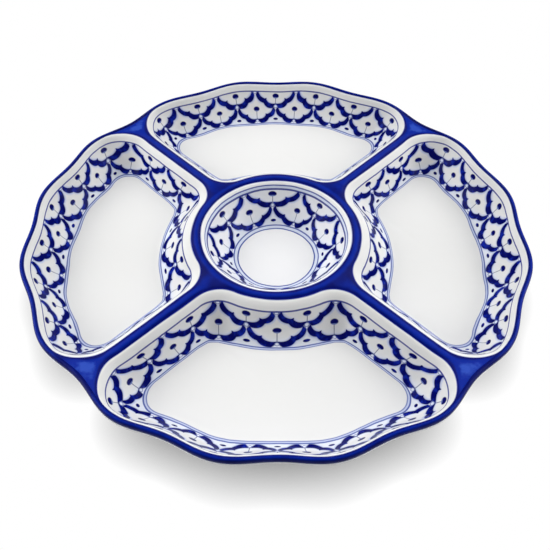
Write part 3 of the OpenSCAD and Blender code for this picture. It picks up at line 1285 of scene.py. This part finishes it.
@dataclass
class Divider:
    """A crowned blue bridge between two wells, flared at the rim and at the collar."""

    form: DishForm
    corner: Corner
    # Where and how strongly the flare near the rim gets a painted highlight, a paler mottled
    # streak.
    highlight_rung: float = 7
    highlight_reach: float = 6
    highlight_pool: float = 0.95
    heel_dulling: float = 0.55

    @property
    def share(self) -> np.ndarray:
        """How far across a rung its points lie."""
        return np.linspace(0, 1, self.form.across_steps + 1)

    def rung(self, start: np.ndarray, along: float, height: float) -> np.ndarray:
        """Lays a rung from a point on one edge to its mirror image on the other.

        Args:
            start: The point.
            along: Distance of the rung's middle from the dish's axis.
            height: Height of the rung's middle.

        Returns:
            Points along the divider, across it and in height.
        """
        bow = hump(self.share)
        return np.stack([mix(start[0], along, bow), mix(start[1], -start[1], self.share),
                         mix(start[2], height, bow)], -1)

    def rungs(self) -> np.ndarray:
        """Lays the rungs across the divider, from the rim to the collar.

        Returns:
            Points by rung and place across it, along, across and in height.
        """
        form = self.form
        edge = form.web_edge()
        tip_reach = form.rim_in_r + form.wave(HALF_QUARTER)
        tip_z = form.rim_z(HALF_QUARTER)
        base_z = edge[form.corner_steps][2]
        rim_turn = bearing(form.corner_centre) * (1 - 2 * self.share)
        reach = form.rim_in_r + form.wave(HALF_QUARTER - rim_turn)
        rim_end = np.stack([reach * np.cos(rim_turn), reach * np.sin(rim_turn),
                            form.rim_z(HALF_QUARTER - rim_turn)], -1)
        heel_turn = bearing(form.heel_centre) * (1 - 2 * self.share)
        rise = form.web_crown * form.saddle(HALF_QUARTER + heel_turn)
        heel_end = np.stack([form.collar_r * np.cos(heel_turn), form.collar_r * np.sin(heel_turn),
                             form.web_z + rise], -1)
        rim_bend = rim_end - self.rung(rim_end[0], tip_reach, tip_z)
        heel_bend = heel_end - self.rung(heel_end[0], form.collar_r, form.web_z)
        rows = []
        for number, point in enumerate(edge):
            out = min(number / form.corner_steps, 1.0)
            home = max((number - form.heel_first) / form.heel_steps, 0.0)
            along, height = point[0], point[2]
            if number < form.corner_steps:
                along = mix(tip_reach, form.corner_centre[0], out)
                height = mix(tip_z, base_z, ease(out))
            if number > form.heel_first:
                along = mix(form.heel_centre[0], form.collar_r, home)
            row = self.rung(point, along, height)
            row[:, 2] += form.web_crown * crown(self.share) * ease(out) * (1 - home)
            rows.append(row + rim_bend * (1 - out) ** 2 + heel_bend * home**2)
        return np.stack(rows)

    def make(self) -> bpy.types.Object:
        """Builds the divider's mesh.

        Returns:
            The piece.
        """
        form = self.form
        top = self.rungs()
        under = top - [0, 0, form.edge_t]
        rows = np.arange(len(top))[:, None]
        # Paler along the crown's middle, partly thinner glaze and partly a painted highlight on its
        # top, and duller towards the collar.
        heel = ease((rows - form.heel_first) / form.heel_steps)
        # The flare near the rim gets a painted highlight: a paler streak across its middle.
        flare = np.exp(-((rows - self.highlight_rung) / self.highlight_reach) ** 2)
        face = (crown(self.share) * (1 - self.heel_dulling * heel)
                + self.highlight_pool * flare * hump(self.share))
        pool = np.concatenate([face, np.full(face.shape, BARE_POOL), face[:, :1]], axis=1)
        draft = MeshDraft()
        numbers = draft.add_grid(np.concatenate([top, under[:, ::-1]], axis=1), pool=pool)
        steps = form.across_steps
        for ring, order in ((numbers[0], -1), (numbers[-1], 1)):
            cap = corners(np.stack([ring[:steps + 1], ring[:steps:-1]]))
            draft.add_faces(cap[:, ::order])
        return draft.build(f"divider_{self.corner.label}_glazed", self.corner.turn, WELL_CREASE)


@dataclass
class RoundPiece:
    """A closed section carried round the dish, such as a band, a collar or a foot."""

    form: DishForm

    @staticmethod
    def carry(name: str, angles: np.ndarray, reach: np.ndarray, height: np.ndarray,
              pool: Values) -> bpy.types.Object:
        """Carries the section round.

        Args:
            name: Name of the piece.
            angles: Angles of the sections from the front.
            reach: Distance from the axis by place round the section, and by section if it varies.
            height: Height in the same way.
            pool: Depth of the glaze in the same way, which along crowns also carries a painted
                highlight.

        Returns:
            The piece.
        """
        turn, reach, height, pool = np.broadcast_arrays(angles[:, None], reach, height, pool)
        points = np.stack([reach * np.sin(turn), -reach * np.cos(turn), height], -1)
        draft = MeshDraft()
        draft.add_grid(points, wrap_rows=True, pool=np.pad(pool, (0, 1), mode="wrap"))
        return draft.build(name, 0.0, ROUND_CREASE)


@dataclass
class RimBand(RoundPiece):
    """The lobed blue bead round the rim, with its white outer lip."""

    across: tuple[float, ...] = (0, 0.22, 0.5, 0.8, 1, 1, 1, 0.9, 0)
    bead: tuple[float, ...] = (0, 0.75, 1, 0.6, 0, 0, 0, 0, 0)
    below: tuple[float, ...] = (0, 0, 0, 0, 0.25, 0.5, 0.77, 0.96, 1)
    glaze_marks: tuple[float, ...] = (0, 2, 3.6, 4.6, 5.2, 8)
    glaze_pools_and_sheen: tuple[float, ...] = (0.1, 0.8, 0.3, 0.1, BARE_POOL, BARE_POOL)
    section_points: int = 41
    flare_gain: float = 1.6
    flare_dulling: float = 0.8

    def make(self) -> bpy.types.Object:
        """Builds the band's mesh.

        Returns:
            The piece.
        """
        form = self.form
        place = np.linspace(0, len(self.across) - 1, self.section_points)
        out = smooth_through(self.across, place)
        up = (smooth_through(self.bead, place) * form.bead_h
              - smooth_through(self.below, place) * form.edge_t)
        angles = form.station_angles(form.corner_centre, form.arc_steps)
        reach = form.rim_in_r + form.band_w * out + form.wave(angles)[:, None]
        height = form.rim_z(angles)[:, None] + up
        away = form.off_divider(angles, form.corner_centre)[:, None]
        flare = ease(self.flare_gain * (1 - away))
        # Paler on the bead's top, partly thinner glaze and partly a painted highlight, and duller
        # near the dividers.
        pool = np.interp(place, self.glaze_marks, self.glaze_pools_and_sheen)
        pool = np.where(pool > 0, pool * (1 - self.flare_dulling * flare), pool)
        return self.carry("rim_band_glazed", angles, reach, height, pool)


@dataclass
class CupCollar(RoundPiece):
    """The crowned blue ring between the cup and the wells."""

    section_points: int = 17
    glaze_pool_and_sheen: float = 0.9
    heel_dulling: float = 0.5

    def make(self) -> bpy.types.Object:
        """Builds the collar's mesh.

        Returns:
            The piece.
        """
        form = self.form
        angles = form.station_angles(form.heel_centre, form.ring_steps)
        share = np.linspace(0, 1, self.section_points)
        rise = crown(share)
        kept = form.saddle(angles)[:, None]
        top = np.where(share > 0.5, rise + (1 - rise) * kept, rise)
        reach = np.concatenate([mix(form.cup_r, form.collar_r, share), [form.collar_r, form.cup_r]])
        under = np.full((len(angles), 2), form.web_z - form.edge_t)
        height = np.concatenate([form.web_z + form.web_crown * top, under], axis=1)
        # Paler along the crown, partly thinner glaze and partly a painted highlight, and duller on
        # the outer half where the dividers join.
        glazed = top * self.glaze_pool_and_sheen * (1 - self.heel_dulling * kept * ease(2 * share - 1))
        pool = np.concatenate([glazed, np.full(under.shape, BARE_POOL)], axis=1)
        return self.carry("cup_collar_glazed", angles, reach, height, pool)


@dataclass
class FootRing(RoundPiece):
    """The ring that the dish stands on."""

    toe_r: float = 0.7 * MM
    toe_points: int = 7
    sections: int = 192

    def make(self) -> bpy.types.Object:
        """Builds the foot's mesh.

        Returns:
            The piece.
        """
        form = self.form
        half = form.foot_w / 2
        turn = np.linspace(0, math.pi / 2, self.toe_points)
        toe_x = form.foot_tip_w / 2 - self.toe_r + self.toe_r * np.sin(turn)
        toe_z = self.toe_r - self.toe_r * np.cos(turn)
        outer_x = np.concatenate([toe_x, [half, half]])
        outer_z = np.concatenate([toe_z, [form.foot_h * form.foot_taper, form.foot_h]])
        reach = form.foot_r + np.concatenate([outer_x, -outer_x[::-1]])
        height = np.concatenate([outer_z, outer_z[::-1]])
        angles = np.linspace(0, 2 * math.pi, self.sections, endpoint=False)
        return self.carry("foot_ring_ware", angles, reach, height, 0.0)


@dataclass
class CentreCup(Pan):
    """The round cup: shoulder, painted wall, floor and underside."""

    face_rows: int = 46
    back_rows: int = 14
    floor_levels: Span = (0.9, 2.2)
    bearings: tuple[float, ...] = (-3.5, 24, 43.5, 67.5, 91, 115, 144, 177, 212, 235, 253, 277,
                                   302, 330, 356.5)

    def motif_turns(self, angles: np.ndarray) -> np.ndarray:
        """Spreads the seven motifs round the cup, as unevenly as they were painted.

        Args:
            angles: Angles from the front, in radians.

        Returns:
            Motif number at each angle.
        """
        turns = np.array(self.bearings)
        knots = np.concatenate([turns[:-1] - 360, turns, turns[1:] + 360])
        return np.interp(180 - np.degrees(angles), knots, np.arange(len(knots)) / 2)

    def make(self) -> bpy.types.Object:
        """Builds the cup's mesh.

        Returns:
            The piece.
        """
        form = self.form
        depth = form.web_z - form.cup_z
        face = np.linspace(FLOOR_LEVEL, 0, self.face_rows)
        back = np.linspace(LATTICE_TOP, FLOOR_LEVEL, self.back_rows)
        spots = [form.cup_wall.at(level, form.cup_run, depth) for level in face]
        spots.append((0.0, form.edge_t))
        spots += [form.cup_wall.at(level, form.cup_run, depth, form.shell_t) for level in back]
        across, down = np.transpose(spots)
        angles = form.station_angles(form.heel_centre, form.ring_steps)
        angles = np.append(angles, angles[0] + 2 * math.pi)
        reach = form.cup_r - across
        loops = np.stack([np.outer(reach, np.sin(angles)), -np.outer(reach, np.cos(angles)),
                          np.tile(form.web_z - down[:, None], (1, len(angles)))], -1)
        motif = np.zeros((len(face), len(angles), 3))
        motif[..., 0] = self.motif_turns(angles)
        motif[..., 1] = form.cup_wall.lattice_heights(face, form.cup_run, depth)[:, None]
        return self.close("centre_cup_glazed", 0.0, loops, motif, np.array([0, 0, form.cup_z]),
                          self.floor_levels)


@dataclass(frozen=True)
class Lamp:
    """A soft square light that faces the dish.

    Its bearing runs from behind the dish towards the left and its lift up from the horizon, both
    in degrees. Its reach and side are in metres and its power is in watts.
    """

    name: str
    bearing: float
    lift: float
    reach: float
    side: float
    power: float
    aim_z: float = 0.02

    def hang(self) -> None:
        """Hangs the light."""
        turn, rise = math.radians(self.bearing), math.radians(self.lift)
        level = self.reach * math.cos(rise)
        data = bpy.data.lights.new(self.name, "AREA")
        data.shape = "SQUARE"
        data.size = self.side
        data.energy = self.power
        light = add_object(self.name, data)
        light.location = (-level * math.sin(turn), level * math.cos(turn),
                          self.reach * math.sin(rise))
        towards = Vector((0, 0, self.aim_z)) - light.location
        light.rotation_euler = towards.to_track_quat("-Z", "Y").to_euler()


@dataclass(frozen=True)
class Studio:
    """Pale floor, soft light and the photograph's camera."""

    lens: float = 43.39
    sensor: float = 36.0
    pitch: float = math.radians(50.673)
    roll: float = math.radians(0.333)
    yaw: float = math.radians(-0.415)
    eye: tuple[float, float, float] = (-0.0007, -0.2916, 0.3433)
    floor_half: float = 6.0
    floor_gap: float = 0.1 * MM
    world_level: float = 0.08
    shadow_reach: float = 26 * MM
    shadow_samples: int = 24
    paper: Colour = (0.9, 0.9, 0.9, 1.0)
    white: Colour = (1.0, 1.0, 1.0, 1.0)
    lamps: tuple[Lamp, ...] = (
        Lamp("softbox_back_left", 45, 45, 3.2, 2.0, 25.5),
        Lamp("softbox_back_right", -45, 45, 3.2, 2.0, 25.5),
        Lamp("softbox_back", 0, 62, 3.2, 1.6, 10.5),
        Lamp("softbox_left", 90, 32, 0.7, 0.4, 2.9),
        Lamp("softbox_right", -90, 30, 0.7, 0.4, 2.75),
    )

    def lay_floor(self) -> None:
        """Lays the floor, which shows white to the camera and keeps the dish's shadow."""
        half, level = self.floor_half, -self.floor_gap
        mesh = bpy.data.meshes.new("floor")
        mesh.from_pydata([(-half, -half, level), (half, -half, level), (half, half, level),
                          (-half, half, level)], [], [(0, 1, 2, 3)])
        floor = add_object("floor", mesh)
        material, bench = new_bench("studio_floor")
        seen = bench.backdrop_share()
        open_sky = bench.node("ShaderNodeAmbientOcclusion", {"samples": self.shadow_samples},
                              {"Distance": self.shadow_reach}, output="AO")
        shows = bench.node("ShaderNodeEmission", {}, {"Color": self.white, "Strength": open_sky})
        paper = bench.node("ShaderNodeBsdfDiffuse", {}, {"Color": self.paper})
        shader = bench.node("ShaderNodeMixShader", {}, {0: seen, 1: paper, 2: shows})
        bench.node("ShaderNodeOutputMaterial", {}, {"Surface": shader})
        floor.data.materials.append(material)

    def set_world(self) -> None:
        """Fills the world with even light, which shows white to the camera."""
        world = bpy.data.worlds.new("studio")
        world.use_nodes = True
        bpy.context.scene.world = world
        bench = Bench(world.node_tree)
        level = self.world_level + bench.backdrop_share() * (1 - self.world_level)
        shader = bench.node("ShaderNodeBackground", {}, {"Color": self.white, "Strength": level})
        bench.node("ShaderNodeOutputWorld", {}, {"Surface": shader})

    def set_camera(self) -> None:
        """Sets the camera up where the photograph was taken from."""
        data = bpy.data.cameras.new("camera")
        data.sensor_width = self.sensor
        data.lens = self.lens
        camera = add_object("camera", data)
        cos, sin = math.cos(self.pitch), math.sin(self.pitch)
        cos_r, sin_r = math.cos(self.roll), math.sin(self.roll)
        right = Vector((cos_r, sin_r * sin, sin_r * cos))
        up = Vector((-sin_r, cos_r * sin, cos_r * cos))
        back = Vector((0, -cos, sin))
        aim = Matrix((right, up, back)).transposed().to_4x4()
        aim.translation = Vector(self.eye)
        camera.matrix_world = Matrix.Rotation(self.yaw, 4, "Z") @ aim
        bpy.context.scene.camera = camera

    def make(self) -> None:
        """Builds the whole studio."""
        bpy.context.scene.view_settings.view_transform = "Standard"
        self.lay_floor()
        for lamp in self.lamps:
            lamp.hang()
        self.set_world()
        self.set_camera()


def settle(piece: bpy.types.Object, node: str, finish: bpy.types.Material) -> None:
    """Dresses a piece and lets it stand for a node of the frame.

    Args:
        piece: The piece.
        node: Name of the node that it stands for.
        finish: Its material.
    """
    piece.data.materials.append(finish)
    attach(piece, ROOT)
    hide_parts(node)
    LOG.info("%s: %d faces stand for %s", piece.name, len(piece.data.polygons), node)


def main() -> None:
    """Builds the dish and its studio around the frame."""
    logging.basicConfig(level=logging.INFO, format="%(name)s: %(message)s")
    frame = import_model()
    form = DishForm()
    lattice = LatticeGlaze("painted_white_glaze", 28.0, 22.0).make()
    # The cup's white, grey and pale blue are lighter than the wells': painted light that lifts the
    # cup's shaded floor and wall.
    cup_lattice = LatticeGlaze("painted_cup_glaze", 33.0, 24.0, line_w=0.76, wash_w=2.6,
                               double_top=True, brim=-0.258, brim_w=0.35,
                               white=linear(251, 251, 250), grey_and_shade=linear(237, 238, 242),
                               pale_blue=linear(220, 228, 246)).make()
    cobalt = CobaltGlaze("cobalt_glaze").make()
    rim_cobalt = CobaltGlaze("cobalt_rim").make()
    foot_ware = FootWare("foot_ware").make()
    for quarter in Quarter:
        well = Well(form, quarter, HAND_SLIPS[quarter])
        settle(well.make(), f"well_{quarter.label}", lattice)
    for corner in Corner:
        settle(Divider(form, corner).make(), f"divider_{corner.label}", cobalt)
    settle(CentreCup(form).make(), "centre_cup", cup_lattice)
    settle(CupCollar(form).make(), "cup_collar", cobalt)
    settle(RimBand(form).make(), "rim_band", rim_cobalt)
    settle(FootRing(form).make(), "foot_ring", foot_ware)
    webs = frame["nodes"]["foot_webs"]
    webs.data.materials.clear()
    webs.data.materials.append(foot_ware)
    Studio().make()


if __name__ == "__main__":
    main()
